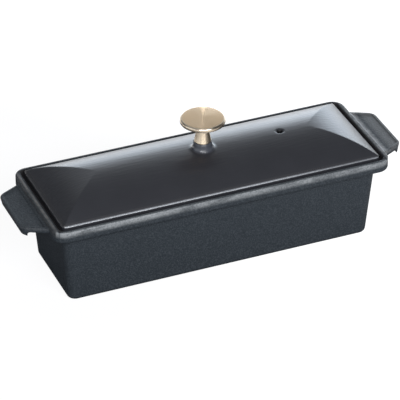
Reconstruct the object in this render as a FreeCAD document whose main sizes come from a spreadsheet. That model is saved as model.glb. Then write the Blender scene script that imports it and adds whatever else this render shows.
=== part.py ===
import FreeCAD, Part
import math
import os

import Sketcher
from FreeCAD import Vector

# A cast-iron terrine dish: a drafted trough with a thick rebated rim and two end tabs,
# a domed lid that drops into the rebate, and a turned brass knob held by a screw.
# X runs along the length, Y across, Z up; the origin is the middle of the foot.

SIZES = [
    ("rim_length", 300.0, "outside of the rim, without the tabs"),
    ("rim_width", 107.0, "outside of the rim"),
    ("rim_corner", 11.0, "outside corner radius of the rim, in plan"),
    ("rim_depth", 11.2, "height of the rim's outer side"),
    ("rim_wall_end", 5.7, "upstand outside the lid, at the ends"),
    ("rim_wall_side", 4.1, "upstand outside the lid, along the sides"),
    ("rim_shoulder", 1.5, "rounding of the rim's outer top edge"),
    ("rim_lip_round", 1.0, "rounding of the rim's inner top edge"),
    ("rim_under_round", 2.6, "rounding of the rim's outer lower edge"),
    ("rim_root_bevel", 3.0, "bevel from the rim's underside to the wall"),
    ("overhang_end", 9.7, "rim beyond the end wall"),
    ("overhang_side", 8.6, "rim beyond the side wall"),
    ("dish_height", 77.0, "foot to the top of the rim"),
    ("batter_end", 5.0, "how far the end wall leans in towards the foot"),
    ("batter_side", 4.0, "how far the side wall leans in towards the foot"),
    ("wall_corner", 7.5, "outside corner radius of the walls"),
    ("foot_round", 4.0, "rounding between walls and foot"),
    ("wall", 4.0, "thickness of the dish's walls"),
    ("dish_floor", 5.0, "thickness of the dish's floor"),
    ("cavity_corner", 8.0, "inside corner radius"),
    ("cavity_floor_round", 6.0, "fillet between floor and inside walls"),
    ("ledge_drop", 4.5, "rim's top down to the ledge under the lid"),
    ("rebate_corner", 6.0, "corner radius of the rebate at the ledge"),
    ("rebate_flare", 0.8, "how far the rebate opens towards the top"),
    ("ledge_bevel", 0.8, "bevel of the ledge's inner edge"),
    ("tab_reach", 21.3, "tab beyond the rim"),
    ("tab_root_width", 75.0, "tab where it leaves the rim"),
    ("tab_tip_width", 53.0, "tab's outer edge, before its corners are rounded"),
    ("tab_drop", 3.5, "rim's top down to the tab's top"),
    ("tab_plate", 4.0, "thickness of the tab"),
    ("tab_lip", 4.4, "lip below the tab's underside"),
    ("tab_lip_width", 5.4, "thickness of the lip at its top"),
    ("tab_lip_lean", 2.3, "how far the lip's outer face leans in towards its lower edge"),
    ("tab_corner", 9.0, "corner radius of the tab, in plan"),
    ("tab_edge_bevel", 1.0, "bevel of the tab's upper edge"),
    ("tab_lip_bevel", 1.0, "bevel of the lip's lower edges"),
    ("tab_root_round", 1.0, "fillet where the tab leaves the rim"),
    ("panel_border", 3.2, "raised border round the tab's sunk panel"),
    ("panel_root_gap", 2.4, "rim's side to the sunk panel"),
    ("panel_depth", 0.7, "depth of the sunk panel"),
    ("lid_clear_end", 2.5, "gap between lid and rebate at the ends"),
    ("lid_clear_side", 1.8, "gap between lid and rebate along the sides"),
    ("lid_edge", 5.3, "height of the lid's upright edge"),
    ("lid_corner", 4.0, "corner radius of the lid, in plan"),
    ("lid_rise", 16.0, "upright edge to the crown"),
    ("lid_wall", 4.0, "thickness of the dome"),
    ("lid_seat", 7.0, "width of the flat seat under the lid's edge"),
    ("lid_edge_round", 0.9, "rounding of the lid's upper edge"),
    ("boss_radius", 7.9, "boss under the knob"),
    ("boss_height", 7.0, "boss above the crown"),
    ("boss_root_round", 4.5, "fillet from the boss to the dome"),
    ("boss_edge_bevel", 0.7, "bevel of the boss's top edge"),
    ("pad_radius", 8.5, "flat pad inside the lid for the screw's head"),
    ("pad_drop", 1.0, "pad below the inside of the crown"),
    ("vent_offset", 70.0, "vent from the middle of the lid"),
    ("vent_bore", 4.6, "diameter of the steam vent"),
    ("vent_mouth", 8.6, "diameter of the vent's dished mouth"),
    ("vent_mouth_depth", 1.1, "depth of the dished mouth"),
    ("screw_diameter", 6.0, "shank of the knob's screw"),
    ("screw_clear", 0.25, "gap round the shank in the lid"),
    ("screw_grip", 8.0, "shank inside the knob"),
    ("screw_head_radius", 5.5, "screw's head"),
    ("screw_head_height", 3.4, "screw's head"),
    ("screw_head_bevel", 1.2, "bevel of the head's edge"),
    ("screw_slot", 1.6, "width of the driver slot"),
    ("screw_slot_depth", 1.7, "depth of the driver slot"),
    ("knob_radius", 19.0, "widest part of the knob"),
    ("knob_height", 22.7, "foot to the top face"),
    ("knob_edge_bevel", 1.7, "polished edge between top face and upright band"),
    ("knob_edge_crest", 0.5, "how near the polished edge comes to the square corner"),
    ("knob_rim", 1.5, "height of the knob's upright band"),
    ("knob_under_bevel", 2.1, "width of the bevel below the upright band"),
    ("knob_neck_radius", 5.0, "neck at its narrowest"),
    ("knob_neck_height", 12.6, "foot to the narrowest part of the neck"),
    ("knob_throat", 4.8, "widening from the neck out to the underside"),
    ("knob_throat_crest", 1.4, "how near the widening comes to a square corner"),
    ("knob_foot_radius", 7.2, "foot of the knob"),
    ("knob_foot_height", 1.0, "upright band at the foot"),
    ("knob_tap_spare", 1.0, "threaded hole beyond the screw's end"),
    ("thread_clear", 0.1, "gap between the screw and the knob's thread"),
]

# Edges are picked by their bounding boxes, to these distances in mm
TOUCH = 1e-4
SLACK = 1e-3
CURVE_SLACK = 0.1

document = FreeCAD.newDocument("TerrineDish")
sheet = document.addObject("Spreadsheet::Sheet", "Sizes")


class Size:
    """A length of the part: its value now, and the formula over the sheet's cells that gives it."""

    def __init__(self, value, formula):
        self.value = value
        self.formula = formula

    def __add__(self, other):
        other = as_size(other)
        return Size(self.value + other.value, f"({self.formula} + {other.formula})")

    def __sub__(self, other):
        other = as_size(other)
        return Size(self.value - other.value, f"({self.formula} - {other.formula})")

    def __mul__(self, other):
        other = as_size(other)
        return Size(self.value * other.value, f"({self.formula} * {other.formula})")

    def __truediv__(self, other):
        other = as_size(other)
        return Size(self.value / other.value, f"({self.formula} / {other.formula})")

    def __neg__(self):
        return Size(-self.value, f"(-{self.formula})")


def as_size(number):
    return number if isinstance(number, Size) else Size(float(number), repr(float(number)))


def root(size):
    return Size(math.sqrt(size.value), f"sqrt({size.formula})")


def fill_sheet():
    for row, (name, value, note) in enumerate(SIZES, start=1):
        sheet.set(f"A{row}", name)
        sheet.set(f"B{row}", str(value))
        sheet.set(f"C{row}", note)
        sheet.setAlias(f"B{row}", name)
    document.recompute()
    return {name: Size(float(sheet.get(name)), f"Sizes.{name}") for name, _, _ in SIZES}


S = fill_sheet()
ZERO = as_size(0)

# Heights and plan sizes that several pieces share
RIM_X = S["rim_length"] / 2
RIM_Y = S["rim_width"] / 2
WALL_X = RIM_X - S["overhang_end"]
WALL_Y = RIM_Y - S["overhang_side"]
FOOT_X = WALL_X - S["batter_end"]
FOOT_Y = WALL_Y - S["batter_side"]
RIM_UNDER_Z = S["dish_height"] - S["rim_depth"]
LEDGE_Z = S["dish_height"] - S["ledge_drop"]
REBATE_X = RIM_X - S["rim_wall_end"]
REBATE_Y = RIM_Y - S["rim_wall_side"]
LID_X = REBATE_X - S["lid_clear_end"]
LID_Y = REBATE_Y - S["lid_clear_side"]
TAB_X = RIM_X + S["tab_reach"]
TAB_TOP_Z = S["dish_height"] - S["tab_drop"]
TAB_UNDER_Z = TAB_TOP_Z - S["tab_plate"]
CROWN_Z = S["lid_edge"] + S["lid_rise"]
INNER_CROWN_Z = CROWN_Z - S["lid_wall"]
BOSS_TOP_Z = CROWN_Z + S["boss_height"]
PAD_Z = INNER_CROWN_Z - S["pad_drop"]


def bind(item, path, size):
    """Tie a size of an object to the formula that gives it."""
    item.setExpression(path, size.formula)


def origin_plane(body, role):
    return next(plane for plane in body.Origin.OriginFeatures if plane.Role == role)


def new_body(name):
    body = document.addObject("PartDesign::Body", name)
    body.Label = name
    return body


def new_sketch(body, name, role, offset=ZERO):
    """A sketch on one of the body's own planes, moved along the plane's normal by the offset."""
    sketch = body.newObject("Sketcher::SketchObject", name)
    sketch.AttachmentSupport = (origin_plane(body, role), [""])
    sketch.MapMode = "FlatFace"
    sketch.AttachmentOffset = FreeCAD.Placement(Vector(0, 0, offset.value), FreeCAD.Rotation())
    bind(sketch, "AttachmentOffset.Base.z", offset)
    return sketch


def fix_point(sketch, geometry, position, x, y):
    """Hold one point of the sketch at the given place."""
    for kind, size in (("DistanceX", x), ("DistanceY", y)):
        number = sketch.addConstraint(Sketcher.Constraint(kind, -1, 1, geometry, position, size.value))
        sketch.setExpression(f"Constraints[{number}]", size.formula)


def draw_outline(sketch, path):
    """A closed outline. Each step of the path is an end point (x, y), with a centre (x, y) for an arc.

    Arcs run counter-clockwise unless the step ends in "back".
    """
    corners = [(step[0], step[1]) for step in path]
    first = sketch.GeometryCount
    for number, step in enumerate(path):
        start = Vector(corners[number - 1][0].value, corners[number - 1][1].value, 0)
        end = Vector(step[0].value, step[1].value, 0)
        if len(step) == 2:
            sketch.addGeometry(Part.LineSegment(start, end))
            continue
        centre = Vector(step[2].value, step[3].value, 0)
        turned = step[-1] == "back"
        low, high = (end, start) if turned else (start, end)
        angles = [math.atan2((point - centre).y, (point - centre).x) for point in (low, high)]
        circle = Part.Circle(centre, Vector(0, 0, 1), (low - centre).Length)
        sketch.addGeometry(Part.ArcOfCircle(circle, angles[0], angles[1]))
    last = first + len(path) - 1
    for number, step in enumerate(path):
        here = first + number
        before = here - 1 if number else last
        turned = step[-1] == "back"
        turned_before = path[number - 1][-1] == "back"
        start_point, end_point = (2, 1) if turned else (1, 2)
        end_point_before = 1 if turned_before else 2
        sketch.addConstraint(Sketcher.Constraint("Coincident", before, end_point_before, here, start_point))
        fix_point(sketch, here, end_point, step[0], step[1])
        if len(step) > 2:
            fix_arc(sketch, here, step)


def fix_arc(sketch, geometry, step):
    """Both ends of the arc are held already, so one coordinate of its centre settles it."""
    chord = sketch.Geometry[geometry].StartPoint - sketch.Geometry[geometry].EndPoint
    along_x = abs(chord.x) >= abs(chord.y)
    kind, size = ("DistanceY", step[3]) if along_x else ("DistanceX", step[2])
    number = sketch.addConstraint(Sketcher.Constraint(kind, -1, 1, geometry, 3, size.value))
    sketch.setExpression(f"Constraints[{number}]", size.formula)


def draw_rounded_rectangle(sketch, half_x, half_y, corner):
    straight_x = half_x - corner
    straight_y = half_y - corner
    draw_outline(sketch, [
        (straight_x, -half_y),
        (half_x, -straight_y, straight_x, -straight_y, "arc"),
        (half_x, straight_y),
        (straight_x, half_y, straight_x, straight_y, "arc"),
        (-straight_x, half_y),
        (-half_x, straight_y, -straight_x, straight_y, "arc"),
        (-half_x, -straight_y),
        (-straight_x, -half_y, -straight_x, -straight_y, "arc"),
    ])


def draw_circle(sketch, radius, centre_x=ZERO):
    circle = Part.Circle(Vector(centre_x.value, 0, 0), Vector(0, 0, 1), radius.value)
    geometry = sketch.addGeometry(circle)
    fix_point(sketch, geometry, 3, centre_x, ZERO)
    number = sketch.addConstraint(Sketcher.Constraint("Radius", geometry, radius.value))
    sketch.setExpression(f"Constraints[{number}]", radius.formula)


def pad(body, name, sketch, length):
    feature = body.newObject("PartDesign::Pad", name)
    feature.Profile = sketch
    bind(feature, "Length", length)
    return feature


def pocket(body, name, sketch, length, upwards=False):
    feature = body.newObject("PartDesign::Pocket", name)
    feature.Profile = sketch
    feature.Reversed = upwards
    bind(feature, "Length", length)
    return feature


def pocket_both_ways(body, name, sketch):
    feature = body.newObject("PartDesign::Pocket", name)
    feature.Profile = sketch
    feature.Type = "ThroughAll"
    feature.Midplane = True
    return feature


def tapered_block(body, name, kind, low_z, high_z, low_half, high_half):
    """A block with four plane sides, from one rectangle below to another above."""
    feature = body.newObject(f"PartDesign::{kind}Wedge", name)
    feature.Placement = FreeCAD.Placement(Vector(0, 0, 0), FreeCAD.Rotation(Vector(1, 0, 0), 90))
    bind(feature, "Ymin", low_z)
    bind(feature, "Ymax", high_z)
    bind(feature, "Xmin", -low_half[0])
    bind(feature, "Xmax", low_half[0])
    bind(feature, "Zmin", -low_half[1])
    bind(feature, "Zmax", low_half[1])
    bind(feature, "X2min", -high_half[0])
    bind(feature, "X2max", high_half[0])
    bind(feature, "Z2min", -high_half[1])
    bind(feature, "Z2max", high_half[1])
    return feature


def revolve(body, name, sketch):
    feature = body.newObject("PartDesign::Revolution", name)
    feature.Profile = sketch
    feature.ReferenceAxis = (sketch, ["V_Axis"])
    feature.Angle = 360
    return feature


def fillet(body, name, radius, test):
    """Round every edge of the body's last feature that passes the test."""
    bind(dress_edges(body, name, "Fillet", test), "Radius", radius)
    document.recompute()


def bevel(body, name, size, test):
    """Bevel every edge of the body's last feature that passes the test."""
    bind(dress_edges(body, name, "Chamfer", test), "Size", size)
    document.recompute()


def dress_edges(body, name, kind, test):
    document.recompute()
    base = body.Tip
    names = [f"Edge{number}" for number, edge in enumerate(base.Shape.Edges, start=1) if test(edge)]
    if not names:
        raise ValueError(f"{name} found no edge")
    feature = body.newObject(f"PartDesign::{kind}", name)
    feature.Base = (base, names)
    return feature


def near(value, target):
    return abs(value - target) < TOUCH


def lies_at(edge, height):
    """The edge is level, at the given height."""
    box = edge.BoundBox
    return near(box.ZMin, height.value) and near(box.ZMax, height.value)


def rises(edge, low, high):
    """The edge runs from one height to another."""
    box = edge.BoundBox
    return near(box.ZMin, low.value) and near(box.ZMax, high.value)


def tab_outline(sketch, root_x, tip_x, root_y, tip_y):
    draw_outline(sketch, [
        (root_x, -root_y),
        (tip_x, -tip_y),
        (tip_x, tip_y),
        (root_x, root_y),
    ])


def add_tabs(body):
    """The two end tabs: a plate with a turned-down lip and a shallow sunk panel on top."""
    buried = S["overhang_end"] / 2
    slope = (S["tab_root_width"] - S["tab_tip_width"]) / 2 / S["tab_reach"]
    tip_y = S["tab_tip_width"] / 2
    root_y = S["tab_root_width"] / 2 + slope * buried
    lip_z = TAB_UNDER_Z - S["tab_lip"]
    lip_tip_x = TAB_X - S["tab_lip_lean"]

    block_sketch = new_sketch(body, "TabOutline", "XY_Plane", lip_z)
    tab_outline(block_sketch, RIM_X - buried, TAB_X, root_y, tip_y)
    pad(body, "TabBlock", block_sketch, S["tab_plate"] + S["tab_lip"])
    lean_sketch = new_sketch(body, "TabLeanOutline", "XZ_Plane")
    draw_outline(lean_sketch, [
        (TAB_X, TAB_TOP_Z),
        (lip_tip_x, lip_z),
        (lip_tip_x, lip_z - S["tab_lip"]),
        (TAB_X + S["tab_lip"], lip_z - S["tab_lip"]),
        (TAB_X + S["tab_lip"], TAB_TOP_Z),
    ])
    pocket_both_ways(body, "TabLean", lean_sketch)
    fillet(body, "TabCorners", S["tab_corner"],
           lambda edge: rises(edge, lip_z, TAB_TOP_Z) and near(edge.BoundBox.XMax, TAB_X.value))

    scoop_x = TAB_X - S["tab_lip_width"]
    scoop_corner = S["tab_plate"] / 2
    scoop_sketch = new_sketch(body, "TabScoopOutline", "XZ_Plane")
    draw_outline(scoop_sketch, [
        (WALL_X, lip_z - S["tab_lip"]),
        (scoop_x, lip_z - S["tab_lip"]),
        (scoop_x, TAB_UNDER_Z - scoop_corner),
        (scoop_x - scoop_corner, TAB_UNDER_Z, scoop_x - scoop_corner, TAB_UNDER_Z - scoop_corner, "arc"),
        (WALL_X, TAB_UNDER_Z),
    ])
    pocket_both_ways(body, "TabScoop", scoop_sketch)
    bevel(body, "TabEdges", S["tab_edge_bevel"],
          lambda edge: lies_at(edge, TAB_TOP_Z) and edge.BoundBox.XMax > RIM_X.value)
    bevel(body, "TabLipEdges", S["tab_lip_bevel"],
          lambda edge: lies_at(edge, lip_z) and edge.BoundBox.XMax > RIM_X.value)

    border = S["panel_border"]
    panel_root_x = RIM_X + S["panel_root_gap"]
    panel_root_y = root_y - slope * (S["panel_root_gap"] + buried) - border
    panel_tip_y = tip_y + slope * border - border
    panel_sketch = new_sketch(body, "TabPanelOutline", "XY_Plane", TAB_TOP_Z - S["panel_depth"])
    tab_outline(panel_sketch, panel_root_x, TAB_X - border, panel_root_y, panel_tip_y)
    pocket(body, "TabPanel", panel_sketch, S["tab_drop"], upwards=True)
    document.recompute()


def make_dish():
    body = new_body("dish")
    tapered_block(body, "Walls", "Additive", ZERO, RIM_UNDER_Z, (FOOT_X, FOOT_Y), (WALL_X, WALL_Y))
    fillet(body, "WallCorners", S["wall_corner"], lambda edge: rises(edge, ZERO, RIM_UNDER_Z))
    fillet(body, "FootEdge", S["foot_round"], lambda edge: lies_at(edge, ZERO))

    before = body.Group
    add_tabs(body)
    tab_steps = [item for item in body.Group if item not in before and "Sketch" not in item.TypeId]
    mirror = body.newObject("PartDesign::Mirrored", "OtherTab")
    mirror.Originals = tab_steps
    mirror.MirrorPlane = (origin_plane(body, "YZ_Plane"), [""])
    body.Tip = mirror

    rim_sketch = new_sketch(body, "RimOutline", "XY_Plane", RIM_UNDER_Z)
    draw_rounded_rectangle(rim_sketch, RIM_X, RIM_Y, S["rim_corner"])
    pad(body, "Rim", rim_sketch, S["rim_depth"])
    fillet(body, "TabRoot", S["tab_root_round"], meets_rim_side)

    flare = S["rebate_flare"]
    tapered_block(body, "Rebate", "Subtractive", LEDGE_Z, S["dish_height"],
                  (REBATE_X, REBATE_Y), (REBATE_X + flare, REBATE_Y + flare))
    fillet(body, "RebateCorners", S["rebate_corner"],
           lambda edge: rises(edge, LEDGE_Z, S["dish_height"]) and edge.BoundBox.XLength < 2 * flare.value)

    lean_x = S["batter_end"] / RIM_UNDER_Z
    lean_y = S["batter_side"] / RIM_UNDER_Z
    wall = S["wall"]
    floor_half = (FOOT_X + lean_x * S["dish_floor"] - wall, FOOT_Y + lean_y * S["dish_floor"] - wall)
    mouth_half = (FOOT_X + lean_x * LEDGE_Z - wall, FOOT_Y + lean_y * LEDGE_Z - wall)
    tapered_block(body, "Cavity", "Subtractive", S["dish_floor"], LEDGE_Z, floor_half, mouth_half)
    fillet(body, "CavityCorners", S["cavity_corner"], lambda edge: rises(edge, S["dish_floor"], LEDGE_Z))
    fillet(body, "CavityFloor", S["cavity_floor_round"], lambda edge: lies_at(edge, S["dish_floor"]))
    bevel(body, "LedgeEdge", S["ledge_bevel"],
          lambda edge: lies_at(edge, LEDGE_Z) and within(edge, *mouth_half))

    top = S["dish_height"]
    rebate_top = (REBATE_X + flare, REBATE_Y + flare)
    fillet(body, "RimLip", S["rim_lip_round"], lambda edge: lies_at(edge, top) and within(edge, *rebate_top))
    fillet(body, "RimShoulder", S["rim_shoulder"],
           lambda edge: lies_at(edge, top) and not within(edge, REBATE_X, REBATE_Y))
    fillet(body, "RimUnderEdge", S["rim_under_round"],
           lambda edge: lies_at(edge, RIM_UNDER_Z) and not within(edge, WALL_X, WALL_Y)
           and within(edge, RIM_X, RIM_Y))
    bevel(body, "RimRoot", S["rim_root_bevel"],
          lambda edge: lies_at(edge, RIM_UNDER_Z) and within(edge, WALL_X, WALL_Y))
    return body


def within(edge, half_x, half_y):
    """The edge stays inside the given half length and half width."""
    box = edge.BoundBox
    reach_x = max(abs(box.XMin), abs(box.XMax))
    reach_y = max(abs(box.YMin), abs(box.YMax))
    return reach_x < half_x.value + SLACK and reach_y < half_y.value + SLACK


def meets_rim_side(edge):
    """The edge lies where a tab leaves the rim's outer side."""
    box = edge.BoundBox
    on_rim = max(abs(box.XMin), abs(box.XMax)) < RIM_X.value + TOUCH
    in_tab = box.ZMin > TAB_UNDER_Z.value - TOUCH and box.ZMax < TAB_TOP_Z.value + TOUCH
    return on_rim and in_tab


def sagitta_radius(half_chord, rise):
    """Radius of the arc that rises by that much over that half chord."""
    return (half_chord * half_chord + rise * rise) / (rise * 2)


def add_dome(body, name, half_x, half_y, corner, radius, crown_z):
    """A vault on a rounded rectangle: both long sides and both ends fall away on the same arc."""
    plan_sketch = new_sketch(body, f"{name}Outline", "XY_Plane")
    draw_rounded_rectangle(plan_sketch, half_x, half_y, corner)
    pad(body, f"{name}Block", plan_sketch, crown_z)

    outside = S["lid_edge"]
    spring_z = crown_z - radius + root(radius * radius - half_y * half_y)
    side_sketch = new_sketch(body, f"{name}SideArc", "YZ_Plane")
    draw_outline(side_sketch, [
        (half_y, spring_z, ZERO, crown_z - radius, "back"),
        (half_y + outside, spring_z),
        (half_y + outside, crown_z + outside),
        (-half_y - outside, crown_z + outside),
        (-half_y - outside, spring_z),
        (-half_y, spring_z),
    ])
    pocket_both_ways(body, f"{name}Sides", side_sketch)

    for end, way in (("Right", 1), ("Left", -1)):
        apex_x = (half_x - half_y) * way
        end_sketch = new_sketch(body, f"{name}{end}Arc", "XZ_Plane")
        draw_outline(end_sketch, [
            (apex_x + half_y * way, spring_z, apex_x, crown_z - radius, "back" if way > 0 else "arc"),
            (apex_x + (half_y + outside) * way, spring_z),
            (apex_x + (half_y + outside) * way, crown_z + outside),
            (apex_x, crown_z + outside),
            (apex_x, crown_z),
        ])
        pocket_both_ways(body, f"{name}{end}", end_sketch)


def make_lid():
    """The lid, with its seat at height 0, set down on the ledge of the dish."""
    radius = sagitta_radius(LID_Y, S["lid_rise"])
    inset = S["lid_seat"]
    core = new_body("lid_hollow")
    add_dome(core, "Hollow", LID_X - inset, LID_Y - inset, S["lid_corner"],
             radius - S["lid_wall"], INNER_CROWN_Z)

    body = new_body("lid")
    add_dome(body, "Dome", LID_X, LID_Y, S["lid_corner"], radius, CROWN_Z)
    document.recompute()
    fillet(body, "LidEdge", S["lid_edge_round"], is_lid_edge)
    hollow = body.newObject("PartDesign::Boolean", "Hollowed")
    hollow.Type = "Cut"
    hollow.Group = [core]

    boss_sketch = new_sketch(body, "BossOutline", "XY_Plane", INNER_CROWN_Z)
    draw_circle(boss_sketch, S["boss_radius"])
    pad(body, "Boss", boss_sketch, S["lid_wall"] + S["boss_height"])
    bevel(body, "BossEdge", S["boss_edge_bevel"], lambda edge: lies_at(edge, BOSS_TOP_Z))
    fillet(body, "BossRoot", S["boss_root_round"], is_boss_root)

    pad_sketch = new_sketch(body, "HeadPadOutline", "XY_Plane", PAD_Z)
    draw_circle(pad_sketch, S["pad_radius"])
    pad(body, "HeadPad", pad_sketch, S["lid_wall"])

    bore_sketch = new_sketch(body, "ScrewBoreOutline", "XY_Plane")
    draw_circle(bore_sketch, S["screw_diameter"] / 2 + S["screw_clear"])
    pocket_both_ways(body, "ScrewBore", bore_sketch)

    vent_sketch = new_sketch(body, "VentOutline", "XY_Plane")
    draw_circle(vent_sketch, S["vent_bore"] / 2, S["vent_offset"])
    pocket_both_ways(body, "Vent", vent_sketch)
    # The cone goes on as far above the crown as below it, so that it cuts clear
    mouth_spread = (S["vent_mouth"] - S["vent_bore"]) / 2
    mouth = body.newObject("PartDesign::SubtractiveCone", "VentMouth")
    bind(mouth, "Placement.Base.x", S["vent_offset"])
    bind(mouth, "Placement.Base.z", CROWN_Z - S["vent_mouth_depth"])
    bind(mouth, "Radius1", S["vent_bore"] / 2)
    bind(mouth, "Radius2", S["vent_bore"] / 2 + mouth_spread * 2)
    bind(mouth, "Height", S["vent_mouth_depth"] * 2)

    bind(body, "Placement.Base.z", LEDGE_Z)
    document.recompute()
    return body


def is_lid_edge(edge):
    """The edge runs round the lid, between its upright side and its dome."""
    box = edge.BoundBox
    return box.ZMin > S["lid_edge"].value - SLACK and box.ZMax < (S["lid_edge"] + S["lid_corner"]).value


def is_boss_root(edge):
    """The edge runs round the foot of the boss, on the dome."""
    box = edge.BoundBox
    reach = S["boss_radius"] + CURVE_SLACK
    low_z = CROWN_Z.value - S["boss_root_round"].value
    on_dome = low_z < box.ZMin and box.ZMax < CROWN_Z.value + CURVE_SLACK
    return on_dome and box.XLength > S["boss_radius"].value and within(edge, reach, reach)


def make_knob():
    """The turned knob: a mushroom on a neck that flares down to its foot."""
    body = new_body("knob")
    tap_radius = S["screw_diameter"] / 2 + S["thread_clear"]
    tap_z = S["screw_grip"] + S["knob_tap_spare"]
    neck_x = S["knob_neck_radius"]
    neck_z = S["knob_neck_height"]
    throat = S["knob_throat"]
    throat_crest = S["knob_throat_crest"]
    edge_x = S["knob_radius"]
    top_z = S["knob_height"]
    edge = S["knob_edge_bevel"]
    crest = S["knob_edge_crest"]
    under_z = neck_z + throat
    profile = new_sketch(body, "KnobProfile", "XZ_Plane")
    draw_outline(profile, [
        (tap_radius, ZERO),
        (S["knob_foot_radius"], ZERO),
        (S["knob_foot_radius"], S["knob_foot_height"]),
        (neck_x, neck_z),
        (neck_x + throat_crest, under_z - throat_crest),
        (neck_x + throat, under_z),
        (edge_x - S["knob_under_bevel"], under_z),
        (edge_x, top_z - edge - S["knob_rim"]),
        (edge_x, top_z - edge),
        (edge_x - crest, top_z - crest),
        (edge_x - edge, top_z),
        (ZERO, top_z),
        (ZERO, tap_z),
        (tap_radius, tap_z),
    ])
    revolve(body, "KnobTurning", profile)
    bind(body, "Placement.Base.z", LEDGE_Z + BOSS_TOP_Z)
    document.recompute()
    return body


def make_knob_screw():
    """The screw: its head bears on the pad inside the lid, and its shank ends in the knob."""
    body = new_body("knob_screw")
    shank_x = S["screw_diameter"] / 2
    tip_z = BOSS_TOP_Z - PAD_Z + S["screw_grip"]
    head_x = S["screw_head_radius"]
    head_z = -S["screw_head_height"]
    head_bevel = S["screw_head_bevel"]
    profile = new_sketch(body, "ScrewProfile", "XZ_Plane")
    draw_outline(profile, [
        (ZERO, head_z),
        (head_x - head_bevel, head_z),
        (head_x, head_z + head_bevel),
        (head_x, ZERO),
        (shank_x, ZERO),
        (shank_x, tip_z),
        (ZERO, tip_z),
    ])
    revolve(body, "ScrewTurning", profile)

    slot_sketch = new_sketch(body, "SlotOutline", "XY_Plane", head_z)
    half_slot = S["screw_slot"] / 2
    draw_outline(slot_sketch, [
        (head_x * 2, -half_slot),
        (head_x * 2, half_slot),
        (-head_x * 2, half_slot),
        (-head_x * 2, -half_slot),
    ])
    pocket(body, "Slot", slot_sketch, S["screw_slot_depth"], upwards=True)
    bind(body, "Placement.Base.z", LEDGE_Z + PAD_Z)
    document.recompute()
    return body


def check_document(bodies):
    document.recompute()
    for item in document.Objects:
        if "Invalid" in item.State or "Error" in item.State:
            raise RuntimeError(f"{item.Label} failed: {item.State}")
    for body in bodies:
        if body.Shape.isNull() or not body.Shape.isValid():
            raise RuntimeError(f"{body.Label} is not a valid solid")


pieces = [make_dish(), make_lid(), make_knob(), make_knob_screw()]
check_document(pieces)
os.makedirs("parts", exist_ok=True)
for piece in pieces:
    shape = piece.Shape
    shape.exportStep(f"parts/{piece.Label}.step")
    print(piece.Label, "solids", len(shape.Solids), "volume", round(shape.Volume / 1000, 2), "cm3")
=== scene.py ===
import math

import bpy
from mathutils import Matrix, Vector


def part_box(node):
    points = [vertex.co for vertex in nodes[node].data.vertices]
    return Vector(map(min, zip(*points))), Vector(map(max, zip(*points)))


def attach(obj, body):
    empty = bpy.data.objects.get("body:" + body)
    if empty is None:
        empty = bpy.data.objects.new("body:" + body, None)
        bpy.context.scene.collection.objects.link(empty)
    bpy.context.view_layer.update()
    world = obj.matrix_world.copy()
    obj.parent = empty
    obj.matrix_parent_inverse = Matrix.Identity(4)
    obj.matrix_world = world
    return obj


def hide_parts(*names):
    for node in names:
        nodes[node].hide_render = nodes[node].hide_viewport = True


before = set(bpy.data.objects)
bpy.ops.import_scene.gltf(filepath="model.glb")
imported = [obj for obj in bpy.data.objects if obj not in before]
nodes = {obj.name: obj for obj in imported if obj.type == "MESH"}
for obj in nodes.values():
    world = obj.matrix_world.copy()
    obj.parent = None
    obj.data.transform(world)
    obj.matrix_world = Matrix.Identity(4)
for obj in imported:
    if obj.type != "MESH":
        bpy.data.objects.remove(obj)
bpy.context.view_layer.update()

# A black enamelled cast-iron terrine dish with a domed lid and a turned brass knob.
# Metres throughout; X runs along the dish, Y across it, Z up.
# The dish, the lid and the screw show as their solids; the knob is a turned mesh in its place.

MM = 0.001

# Camera, as the photograph was taken
CAMERA_AZIMUTH = math.radians(-22.62)
CAMERA_ELEVATION = math.radians(32.83)
CAMERA_TARGET = Vector((2.14, 10.91, 35.0)) * MM
CAMERA_DISTANCE = 2465.92 * MM
CAMERA_FOCAL_PIXELS = 2915.66
CAMERA_REACH = 50
FRAME_PIXELS = 400
SENSOR_WIDTH = 36.0

# Half the length and half the width over the rim, the height of the lid's upright edge, and
# how far from the middle the vent lies
RIM_END = 150 * MM
RIM_SIDE = 53.5 * MM
LID_EDGE_HEIGHT = 5.3 * MM
VENT_X = 70 * MM


def colour(red, green, blue):
    return (red, green, blue, 1.0)


WHITE = colour(1.0, 1.0, 1.0)

# Enamel of the dish: its two shades, the lighter grain, wear with a painted highlight on the rim,
# and painted shade in the rebate
DISH_SHADES = colour(0.024, 0.030, 0.037), colour(0.030, 0.037, 0.045)
DISH_SPECKLE = colour(0.080, 0.093, 0.108)
DISH_WEAR_HIGHLIGHT_DIM = colour(0.190, 0.176, 0.168)
DISH_WEAR_HIGHLIGHT_BRIGHT = colour(0.34, 0.36, 0.38)
PAINTED_SHADE_REBATE_SIDE = colour(0.004, 0.004, 0.006)
PAINTED_SHADE_REBATE_END = colour(0.021, 0.020, 0.022)
DISH_ROUGHNESS, DISH_WORN_ROUGHNESS = 0.58, 0.28

# Enamel of the lid: its two shades, the edge's wear with a painted highlight, a painted sheen on
# the boss, and painted shade inside the vent
LID_SHADES = colour(0.020, 0.021, 0.026), colour(0.030, 0.031, 0.038)
LID_WEAR_HIGHLIGHT_DIM = colour(0.045, 0.045, 0.050)
LID_WEAR_HIGHLIGHT_BRIGHT = colour(0.68, 0.72, 0.79)
LID_BOSS_PAINTED_SHEEN = colour(0.060, 0.065, 0.080)
VENT_PAINTED_SHADE = colour(0.002, 0.002, 0.003)
LID_ROUGHNESS, LID_BOSS_ROUGHNESS = 0.34, 0.14

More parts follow.
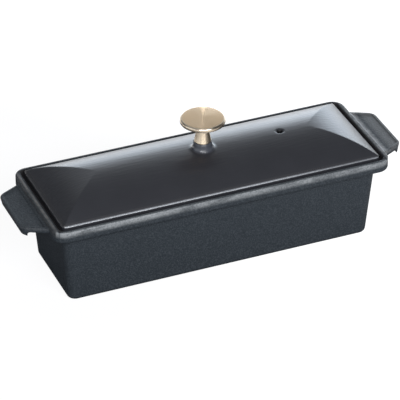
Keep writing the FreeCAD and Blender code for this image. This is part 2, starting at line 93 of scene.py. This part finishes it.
# Brass of the knob: its two shades, the turned rings, the neck, and the polished edge
BRASS_SHADES = colour(0.56, 0.41, 0.262), colour(0.63, 0.475, 0.315)
BRASS_RINGS = colour(0.68, 0.52, 0.37)
BRASS_NECK = colour(0.60, 0.50, 0.38)
BRASS_EDGE = colour(0.60, 0.505, 0.395)
BRASS_FACE_ROUGHNESS, BRASS_NECK_ROUGHNESS, BRASS_EDGE_ROUGHNESS = 0.18, 0.24, 0.26

# Steel of the screw, in two shades
STEEL_SHADES = colour(0.50, 0.49, 0.47), colour(0.62, 0.61, 0.59)

# The grey floor that the dish stands on, with painted shade near its left, and the sweep that
# shows in gloss
FLOOR_PALE = colour(0.35, 0.35, 0.36)
FLOOR_PAINTED_SHADE = colour(0.12, 0.12, 0.13)
SWEEP_TINT = colour(0.92, 0.965, 1.0)

# The part of a noise's range that a ramp spreads over the whole of its result
GRAIN_SPREAD = 0.30, 0.60
WEAR_SPREAD = 0.38, 0.58

BEVEL_SAMPLES = 6
OCCLUSION_SAMPLES = 8


def make_camera():
    """The camera of the photograph, from the front left and above."""
    data = bpy.data.cameras.new("camera")
    data.sensor_width = SENSOR_WIDTH
    data.lens = CAMERA_FOCAL_PIXELS * SENSOR_WIDTH / FRAME_PIXELS
    data.clip_end = CAMERA_REACH
    camera = bpy.data.objects.new("camera", data)
    level = math.cos(CAMERA_ELEVATION)
    back = Vector((
        math.sin(CAMERA_AZIMUTH) * level,
        -math.cos(CAMERA_AZIMUTH) * level,
        math.sin(CAMERA_ELEVATION),
    ))
    camera.location = CAMERA_TARGET + back * CAMERA_DISTANCE
    camera.rotation_euler = (-back).to_track_quat("-Z", "Y").to_euler()
    bpy.context.scene.collection.objects.link(camera)
    bpy.context.scene.camera = camera


class Graph:
    """A short way to build a tree of shader nodes."""

    def __init__(self, tree):
        self.tree = tree
        tree.nodes.clear()

    def node(self, kind, inputs=None, **settings):
        node = self.tree.nodes.new(kind)
        for name, value in settings.items():
            setattr(node, name, value)
        for name, value in (inputs or {}).items():
            socket = node.inputs[name]
            if isinstance(value, bpy.types.NodeSocket):
                self.tree.links.new(value, socket)
            else:
                socket.default_value = value
        return node

    def math(self, operation, first, second=0.0, clamp=False):
        inputs = {0: first, 1: second}
        return self.node("ShaderNodeMath", inputs, operation=operation, use_clamp=clamp).outputs[0]

    def product(self, first, *others):
        for other in others:
            first = self.math("MULTIPLY", first, other)
        return first

    def largest(self, first, *others):
        for other in others:
            first = self.math("MAXIMUM", first, other)
        return first

    def ramp(self, value, low, high, out_low=0.0, out_high=1.0):
        """The value carried smoothly from one range to another, and held at its ends."""
        node = self.node("ShaderNodeMapRange", {
            "Value": value,
            "From Min": low,
            "From Max": high,
            "To Min": out_low,
            "To Max": out_high,
        }, interpolation_type="SMOOTHSTEP")
        return node.outputs["Result"]

    def between(self, share, start, end):
        """The number that lies a share of the way from start to end, eased at both."""
        return self.ramp(share, 0.0, 1.0, start, end)

    def band(self, value, low, high, fade):
        """1 between two levels, and 0 beyond them by the fade."""
        return self.product(self.ramp(value, low - fade, low), self.ramp(value, high + fade, high))

    def noise(self, place, size, detail=2.0, roughness=0.5):
        """Noise whose lumps are about that many metres across."""
        node = self.node("ShaderNodeTexNoise", {
            "Vector": place, "Scale": 1 / size, "Detail": detail, "Roughness": roughness,
        })
        return node.outputs["Fac"]

    def stretched(self, place, share):
        """The place with its X drawn together, so that noise on it runs long in X."""
        inputs = {"Vector": place, "Scale": (share, 1.0, 1.0)}
        return self.node("ShaderNodeMapping", inputs).outputs[0]

    def flat_distance(self, place, x=0.0, y=0.0):
        """Distance in plan from the point (x, y)."""
        flattened = {0: place, 1: (1.0, 1.0, 0.0)}
        flat = self.node("ShaderNodeVectorMath", flattened, operation="MULTIPLY").outputs[0]
        ends = {0: flat, 1: (x, y, 0.0)}
        return self.node("ShaderNodeVectorMath", ends, operation="DISTANCE").outputs["Value"]

    def blend(self, share, first, second):
        """The first colour, with that share of the second."""
        node = self.node("ShaderNodeMix", {0: share, 6: first, 7: second}, data_type="RGBA")
        return node.outputs[2]

    def bump(self, height, distance, strength=1.0, normal=None):
        inputs = {"Height": height, "Distance": distance, "Strength": strength}
        if normal is not None:
            inputs["Normal"] = normal
        return self.node("ShaderNodeBump", inputs).outputs["Normal"]

    def soft_normal(self, radius):
        """The surface's normal with its sharp edges softened over that radius."""
        node = self.node("ShaderNodeBevel", {"Radius": radius}, samples=BEVEL_SAMPLES)
        return node.outputs["Normal"]

    def place(self):
        """Where a point of the surface lies on its piece: the vector, and its X, Y and Z."""
        place = self.node("ShaderNodeTexCoord").outputs["Object"]
        return (place, *self.node("ShaderNodeSeparateXYZ", {0: place}).outputs)


def new_material(name):
    material = bpy.data.materials.new(name)
    material.use_nodes = True
    return material, Graph(material.node_tree)


def finish_material(graph, **inputs):
    named = {key.replace("_", " "): value for key, value in inputs.items()}
    shader = graph.node("ShaderNodeBsdfPrincipled", named)
    graph.node("ShaderNodeOutputMaterial", {"Surface": shader.outputs[0]})


def rim_wear_and_highlight(graph, place, grain, upright, top_z):
    """How far wear and a painted highlight lighten the rim and the right tab, 0 to a little over
    1, and to what colour.
    """
    spot, along, across, height = place
    end_ward = graph.math("ABSOLUTE", along)
    side_ward = graph.math("ABSOLUTE", across)
    wear = graph.noise(graph.stretched(spot, 0.4), 7 * MM, 3.0, 0.6)

    def wear_and_highlight(least, most):
        return graph.ramp(wear, *WEAR_SPREAD, least, most)

    # Wear with a painted highlight on the outer shoulder all round, less in the middle of the
    # front and least at the left end
    rounded = graph.ramp(upright, 0.92, 0.62, 0.20, 1.0)
    upper = graph.ramp(height, top_z - 6.8 * MM, top_z - 2.2 * MM)
    outer = graph.largest(
        graph.ramp(end_ward, RIM_END - 4.0 * MM, RIM_END - 2.8 * MM),
        graph.ramp(side_ward, RIM_SIDE - 3.3 * MM, RIM_SIDE - 2.1 * MM),
    )
    middle = graph.band(along, -45 * MM, 45 * MM, 30 * MM)
    at_front = graph.ramp(across, -46 * MM, -50 * MM)
    left_end = graph.product(
        graph.ramp(along, 7 * MM - RIM_END, 2 * MM - RIM_END),
        graph.between(at_front, 1.0, 0.0),
    )
    shoulder = graph.product(
        upper,
        rounded,
        graph.ramp(grain, *GRAIN_SPREAD, 0.5, 1.0),
        wear_and_highlight(0.60, 1.15),
        outer,
        graph.between(middle, 1.0, 0.82),
        graph.between(left_end, 1.0, 0.25),
    )

    # A narrow crest along both ends, lighter by wear and a painted highlight
    crest = graph.product(
        graph.band(end_ward, RIM_END - 2.8 * MM, RIM_END - 1.6 * MM, 1.0 * MM),
        graph.ramp(height, top_z - 2.0 * MM, top_z - 0.8 * MM),
        wear_and_highlight(0.30, 0.62),
    )

    # The shoulder of the right end with the root of its tab, and the top of that tab, lighter by
    # wear and a painted highlight
    right_root = graph.product(
        graph.ramp(along, RIM_END - 2.4 * MM, RIM_END - 0.6 * MM),
        graph.ramp(along, RIM_END + 7.5 * MM, RIM_END + 3.0 * MM),
        wear_and_highlight(0.60, 0.95),
        graph.ramp(upright, 0.15, 0.55),
    )
    right_tab = graph.product(
        graph.ramp(along, RIM_END + 4 * MM, RIM_END + 13 * MM, 0.0, 0.42),
        graph.ramp(upright, 0.6, 0.9),
    )
    wear_and_highlight_share = graph.largest(shoulder, crest, right_root, right_tab)

    # The painted highlight is lightest and coolest along the front and at the very ends
    lighter = graph.largest(at_front, graph.ramp(along, RIM_END - 3 * MM, RIM_END, 0.0, 0.5))
    return wear_and_highlight_share, graph.blend(lighter, DISH_WEAR_HIGHLIGHT_DIM, DISH_WEAR_HIGHLIGHT_BRIGHT)


def rebate_painted_shade(graph, place, top_z):
    """Where the rebate under the lid's edge lies, and the painted shade that darkens it there."""
    _, along, across, height = place
    end_ward = graph.math("ABSOLUTE", along)
    side_ward = graph.math("ABSOLUTE", across)
    inside = graph.product(
        graph.ramp(end_ward, RIM_END - 3.2 * MM, RIM_END - 4.6 * MM),
        graph.ramp(side_ward, RIM_SIDE - 2.5 * MM, RIM_SIDE - 3.5 * MM),
        graph.ramp(height, top_z - 6.0 * MM, top_z - 5.0 * MM),
    )
    at_end = graph.ramp(end_ward, RIM_END - 12 * MM, RIM_END - 8 * MM)
    return inside, graph.blend(at_end, PAINTED_SHADE_REBATE_SIDE, PAINTED_SHADE_REBATE_END)


def dish_enamel(top_z):
    """Matt black enamel over sand-cast iron: pebbled, with wear and a painted highlight along the
    rim.
    """
    material, graph = new_material("dish_enamel")
    place = graph.place()
    spot = place[0]
    patches = graph.noise(spot, 22 * MM, 3.0)
    pebbles = graph.noise(spot, 1.9 * MM, 3.0, 0.6)
    grain = graph.noise(spot, 1.2 * MM, 3.0, 0.7)
    base = graph.blend(patches, *DISH_SHADES)
    base = graph.blend(graph.product(graph.ramp(grain, 0.42, 0.64), 0.45), base, DISH_SPECKLE)

    softened = graph.soft_normal(2.0 * MM)
    upright = graph.node("ShaderNodeSeparateXYZ", {0: softened}).outputs[2]
    # Painted highlight with wear: the rim's shoulder and the right tab lighter, most along the
    # front
    wear_and_highlight_share, wear_and_highlight = rim_wear_and_highlight(graph, place, grain, upright, top_z)
    base = graph.blend(graph.math("MULTIPLY", wear_and_highlight_share, 0.85, clamp=True), base, wear_and_highlight)
    # Painted shade: the rebate under the lid's edge darkened almost to black, less so at the ends
    inside, dark = rebate_painted_shade(graph, place, top_z)
    base = graph.blend(inside, base, dark)

    normal = graph.bump(pebbles, 0.45 * MM, 0.9, softened)
    normal = graph.bump(grain, 0.2 * MM, 0.9, normal)
    finish_material(
        graph,
        Base_Color=base,
        Roughness=graph.between(wear_and_highlight_share, DISH_ROUGHNESS, DISH_WORN_ROUGHNESS),
        Specular_IOR_Level=0.14,
        Normal=normal,
    )
    return material


def lid_enamel(edge_z):
    """Satin black enamel, faintly streaked along the lid, its front edge lightened by wear and a
    painted highlight.
    """
    material, graph = new_material("lid_enamel")
    spot, along, across, height = graph.place()
    patches = graph.noise(spot, 30 * MM, 3.0)
    streaks = graph.noise(graph.stretched(spot, 0.12), 2.0 * MM, 2.0, 0.6)
    grain = graph.noise(spot, 0.9 * MM, 2.0, 0.6)
    base = graph.blend(patches, *LID_SHADES)

    # Painted highlight with wear: a light line along the lid's edge, bright only at the front and
    # fading to the right
    wear_and_highlight_share = graph.product(
        graph.band(height, edge_z + 0.1 * MM, edge_z + 1.7 * MM, 0.4 * MM),
        graph.ramp(grain, *GRAIN_SPREAD, 0.6, 1.0),
        graph.ramp(along, 30 * MM, 120 * MM, 1.05, 0.55),
    )
    at_front = graph.ramp(across, -46 * MM, -48 * MM)
    wear_and_highlight = graph.blend(at_front, LID_WEAR_HIGHLIGHT_DIM, LID_WEAR_HIGHLIGHT_BRIGHT)
    base = graph.blend(graph.product(wear_and_highlight_share, 0.8), base, wear_and_highlight)
    # Painted shade: the inside of the vent darkened
    in_vent = graph.ramp(graph.flat_distance(spot, VENT_X), 3.2 * MM, 2.6 * MM)
    base = graph.blend(in_vent, base, VENT_PAINTED_SHADE)
    # Painted sheen: the boss lighter and bluer than the rest of the lid
    on_boss = graph.ramp(graph.flat_distance(spot), 10.5 * MM, 8.5 * MM)
    base = graph.blend(on_boss, base, LID_BOSS_PAINTED_SHEEN)

    softened = graph.soft_normal(graph.between(on_boss, 2.2 * MM, 3.6 * MM))
    normal = graph.bump(streaks, 0.16 * MM, 0.9, softened)
    normal = graph.bump(grain, 0.04 * MM, 0.6, normal)
    glossier = graph.largest(graph.product(wear_and_highlight_share, 0.6), on_boss)
    finish_material(
        graph,
        Base_Color=base,
        Roughness=graph.between(glossier, LID_ROUGHNESS, LID_BOSS_ROUGHNESS),
        Specular_IOR_Level=0.42,
        Normal=normal,
    )
    return material


def knob_brass(top_z, face_radius):
    """Champagne brass: the top face turned in fine rings, its edge and neck polished."""
    material, graph = new_material("knob_brass")
    spot, _, _, height = graph.place()
    radius = graph.flat_distance(spot)
    at_edge = graph.ramp(radius, face_radius - 0.3 * MM, face_radius + 0.1 * MM)
    below_cap = graph.ramp(height, top_z - 4 * MM, top_z - 8 * MM)
    rings_place = graph.node("ShaderNodeCombineXYZ", {0: radius}).outputs[0]
    rings = graph.noise(rings_place, 0.25 * MM, 3.0, 0.7)
    tarnish = graph.noise(spot, 9 * MM, 3.0)
    base = graph.blend(tarnish, *BRASS_SHADES)
    base = graph.blend(graph.product(graph.ramp(rings, 0.35, 0.65), 0.25), base, BRASS_RINGS)
    base = graph.blend(below_cap, base, BRASS_NECK)
    base = graph.blend(graph.math("SUBTRACT", at_edge, below_cap, clamp=True), base, BRASS_EDGE)

    roughness = graph.between(below_cap, BRASS_FACE_ROUGHNESS, BRASS_NECK_ROUGHNESS)
    mixed = graph.node("ShaderNodeMix", {0: at_edge, 2: roughness, 3: BRASS_EDGE_ROUGHNESS})
    tangent = graph.node("ShaderNodeTangent", direction_type="RADIAL", axis="Z").outputs[0]
    finish_material(
        graph,
        Base_Color=base,
        Metallic=1.0,
        Roughness=mixed.outputs[0],
        Anisotropic=0.97,
        Anisotropic_Rotation=0.25,
        Tangent=tangent,
        Normal=graph.bump(rings, 0.008 * MM, 0.6),
    )
    return material


def screw_steel():
    """Bright plain steel."""
    material, graph = new_material("screw_steel")
    spot = graph.place()[0]
    patches = graph.noise(spot, 4 * MM, 3.0)
    finish_material(
        graph,
        Base_Color=graph.blend(patches, *STEEL_SHADES),
        Metallic=1.0,
        Roughness=graph.ramp(patches, 0.3, 0.7, 0.28, 0.40),
        Normal=graph.bump(graph.noise(spot, 0.4 * MM), 0.01 * MM, 0.5),
    )
    return material


def paint(item, material):
    item.data.materials.clear()
    item.data.materials.append(material)


def new_object(name, vertices, faces):
    mesh = bpy.data.meshes.new(name)
    mesh.from_pydata(vertices, [], faces)
    mesh.update()
    item = bpy.data.objects.new(name, mesh)
    bpy.context.scene.collection.objects.link(item)
    return item


def arc_points(centre, radius, start, end, steps):
    """Points of an arc in the profile's plane, angles in degrees."""
    angles = [math.radians(start + (end - start) * step / steps) for step in range(steps + 1)]
    return [(centre[0] + radius * math.cos(a), centre[1] + radius * math.sin(a)) for a in angles]


def lathe(name, profile, segments):
    """A closed turned piece from (radius, height) points; the first and last lie on the axis."""
    vertices = [(0.0, 0.0, profile[0][1])]
    for radius, height in profile[1:-1]:
        for step in range(segments):
            angle = 2 * math.pi * step / segments
            vertices.append((radius * math.cos(angle), radius * math.sin(angle), height))
    vertices.append((0.0, 0.0, profile[-1][1]))
    rings = len(profile) - 2
    last = len(vertices) - 1
    faces = []
    for step in range(segments):
        following = (step + 1) % segments
        faces.append((0, 1 + following, 1 + step))
        for ring in range(rings - 1):
            low = 1 + ring * segments
            high = low + segments
            faces.append((low + step, low + following, high + following, high + step))
        top = 1 + (rings - 1) * segments
        faces.append((top + step, top + following, last))
    return new_object(name, vertices, faces)


def make_knob():
    """The turned knob with its true roundings, standing where the solid stands."""
    low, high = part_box("knob")
    foot_z, top_z, widest = low.z, high.z, high.x

    # The cap: a crowned face, a rounded edge, a short upright band and a bevel to its underside
    edge = 1.7 * MM
    crown = 0.50 * MM
    band_height = 1.5 * MM
    face_radius = widest - edge
    edge_z = top_z - crown - edge
    band_low = edge_z - band_height
    bevel = widest - 2.1 * MM

    # The neck, which runs out under the cap in an arc and spreads towards the foot
    throat = 4.8 * MM
    neck = 5.0 * MM
    neck_z = foot_z + 12.6 * MM
    under_z = neck_z + throat
    foot = 7.2 * MM
    foot_edge = 0.2 * MM
    foot_height = 0.9 * MM

    # The blind hole for the screw
    bore = 3.1 * MM
    bore_z = foot_z + 9.0 * MM

    segments = 144
    throat_steps, edge_steps, crown_steps = 14, 10, 12
    edge_degrees = 84

    profile = [
        (0.0, bore_z),
        (bore, bore_z),
        (bore, foot_z),
        (foot - foot_edge, foot_z),
        (foot, foot_z + foot_edge),
        (foot, foot_z + foot_height),
        (foot - 0.08 * MM, foot_z + 1.1 * MM),
        (neck + 0.15 * MM, neck_z - 1.2 * MM),
    ]
    profile += arc_points((neck + throat, neck_z), throat, 180, 90, throat_steps)
    profile += [
        (bevel - 0.3 * MM, under_z),
        (bevel, under_z + 0.08 * MM),
        (bevel + 0.25 * MM, under_z + 0.25 * MM),
        (widest - 0.2 * MM, band_low - 0.25 * MM),
        (widest, band_low + 0.1 * MM),
    ]
    profile += arc_points((face_radius, edge_z), edge, 0, edge_degrees, edge_steps)
    face_edge, face_edge_z = profile[-1]
    for step in range(1, crown_steps):
        radius = face_edge * (1 - step / crown_steps)
        rise = (top_z - face_edge_z) * (1 - (radius / face_edge) ** 2)
        profile.append((radius, face_edge_z + rise))
    profile.append((0.0, top_z))

    knob = lathe("knob_turned", profile, segments)
    knob.data.shade_smooth()
    paint(knob, knob_brass(top_z, face_radius))
    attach(knob, "root")
    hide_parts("knob")


def backdrop_rays(graph):
    """Two flags: 1 for rays seen straight or through glass, and 1 for rays mirrored in gloss."""
    rays = graph.node("ShaderNodeLightPath").outputs
    return graph.largest(rays["Is Camera Ray"], rays["Is Transmission Ray"]), rays["Is Glossy Ray"]


def make_floor():
    """A plain pale floor that shows white, and keeps the shadow of the dish."""
    reach = 6.0
    level = -0.3 * MM
    corners = [(x * reach, y * reach, level) for x, y in ((-1, -1), (1, -1), (1, 1), (-1, 1))]
    floor = new_object("floor", corners, [(0, 1, 2, 3)])
    material, graph = new_material("floor")
    straight, glossy = backdrop_rays(graph)
    place, along, across, _ = graph.place()

    # What gloss shows of the floor, a painted reflection: painted shade under the dish and at two
    # sides, bright far behind
    inputs = {"Distance": 0.35}
    occlusion = graph.node("ShaderNodeAmbientOcclusion", inputs, samples=OCCLUSION_SAMPLES)
    open_sky = graph.ramp(occlusion.outputs["AO"], 0.55, 1.0)
    near_left = graph.ramp(graph.flat_distance(place, -0.25, 0.10), 0.40, 0.22)
    near_right = graph.product(graph.ramp(along, 0.20, 0.40), graph.ramp(across, 0.10, -0.05))
    side_light = graph.between(graph.largest(near_left, near_right), 0.95, 0.08)
    lit_sweep = graph.ramp(across, 0.35, 0.80, 1.0, 3.3)
    mirrored = graph.product(glossy, open_sky, side_light, lit_sweep)

    # Seen straight it glows a little below white, so that the dish's shadow still shows
    glow = graph.largest(graph.product(straight, 0.92), mirrored)
    # Painted shade: the floor's colour darker near the left of the dish
    pale = graph.blend(near_left, FLOOR_PALE, FLOOR_PAINTED_SHADE)
    diffuse = graph.node("ShaderNodeBsdfDiffuse", {"Color": pale})
    emission = graph.node("ShaderNodeEmission", {"Color": WHITE, "Strength": glow})
    both = graph.node("ShaderNodeAddShader", {0: diffuse.outputs[0], 1: emission.outputs[0]})
    graph.node("ShaderNodeOutputMaterial", {"Surface": both.outputs[0]})
    paint(floor, material)


def make_world():
    """A white sweep round the horizon with a dim ceiling; seen straight it is plain white."""
    world = bpy.data.worlds.new("studio")
    bpy.context.scene.world = world
    world.use_nodes = True
    graph = Graph(world.node_tree)
    direction = graph.node("ShaderNodeTexCoord").outputs["Generated"]
    east, north, up = graph.node("ShaderNodeSeparateXYZ", {0: direction}).outputs
    straight, glossy = backdrop_rays(graph)

    # Dark flags stand at the front right and the back left
    front_right = graph.product(graph.ramp(east, 0.20, 0.60), graph.ramp(north, 0.50, 0.10))
    back_left = graph.product(graph.ramp(east, 0.05, -0.30), graph.ramp(north, 0.10, 0.60))
    right_flag = graph.between(front_right, 1.0, 0.15)
    left_flag = graph.between(back_left, 1.0, 0.1)

    # The even light, brighter low down and to the right
    even = graph.product(
        graph.ramp(up, 0.10, 0.50, 0.9, 0.18),
        graph.ramp(east, -0.8, 0.1, 0.12, 1.0),
        right_flag,
    )
    # The sweep that shows in gloss, with a brighter panel at the far left
    sweep = graph.product(
        glossy,
        graph.ramp(up, 0.30, 0.88, 1.0, 0.40),
        left_flag,
        right_flag,
        graph.ramp(east, -0.70, -0.88, 1.0, 2.0),
    )
    strength = graph.largest(straight, even, sweep)
    tint = graph.blend(straight, SWEEP_TINT, WHITE)
    background = graph.node("ShaderNodeBackground", {"Color": tint, "Strength": strength})
    graph.node("ShaderNodeOutputWorld", {"Surface": background.outputs[0]})


def softbox(name, azimuth, elevation, distance, width, height, power, tint):
    """An area light aimed at the dish; azimuth runs from the back, clockwise seen from above."""
    data = bpy.data.lights.new(name, "AREA")
    data.shape = "RECTANGLE"
    data.size = width
    data.size_y = height
    data.energy = power
    data.color = tint
    light = bpy.data.objects.new(name, data)
    turn, rise = math.radians(azimuth), math.radians(elevation)
    towards = Vector((
        math.sin(turn) * math.cos(rise),
        math.cos(turn) * math.cos(rise),
        math.sin(rise),
    ))
    middle_of_dish = Vector((0, 0, 0.08))
    light.location = middle_of_dish + towards * distance
    light.rotation_euler = towards.to_track_quat("Z", "Y").to_euler()
    bpy.context.scene.collection.objects.link(light)


NEUTRAL = (1.0, 1.0, 1.0)
COOL = (0.75, 0.865, 1.0)
# Name, azimuth, elevation, distance, width, height, power, tint
SOFTBOXES = (
    ("front_light", 190, 34, 2.0, 2.0, 0.5, 44, NEUTRAL),
    ("back_light", 24, 6, 2.0, 1.5, 0.68, 10.4, COOL),
    ("strip_light", 23.0, 14, 2.0, 0.05, 0.6, 0.40, NEUTRAL),
    ("end_light", 44, 12, 1.0, 0.66, 0.45, 1.45, COOL),
)

make_camera()
bpy.context.scene.view_settings.view_transform = "Standard"
make_world()
make_floor()
for settings in SOFTBOXES:
    softbox(*settings)

paint(nodes["dish"], dish_enamel(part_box("dish")[1].z))
paint(nodes["lid"], lid_enamel(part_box("lid")[0].z + LID_EDGE_HEIGHT))
paint(nodes["knob_screw"], screw_steel())
make_knob()
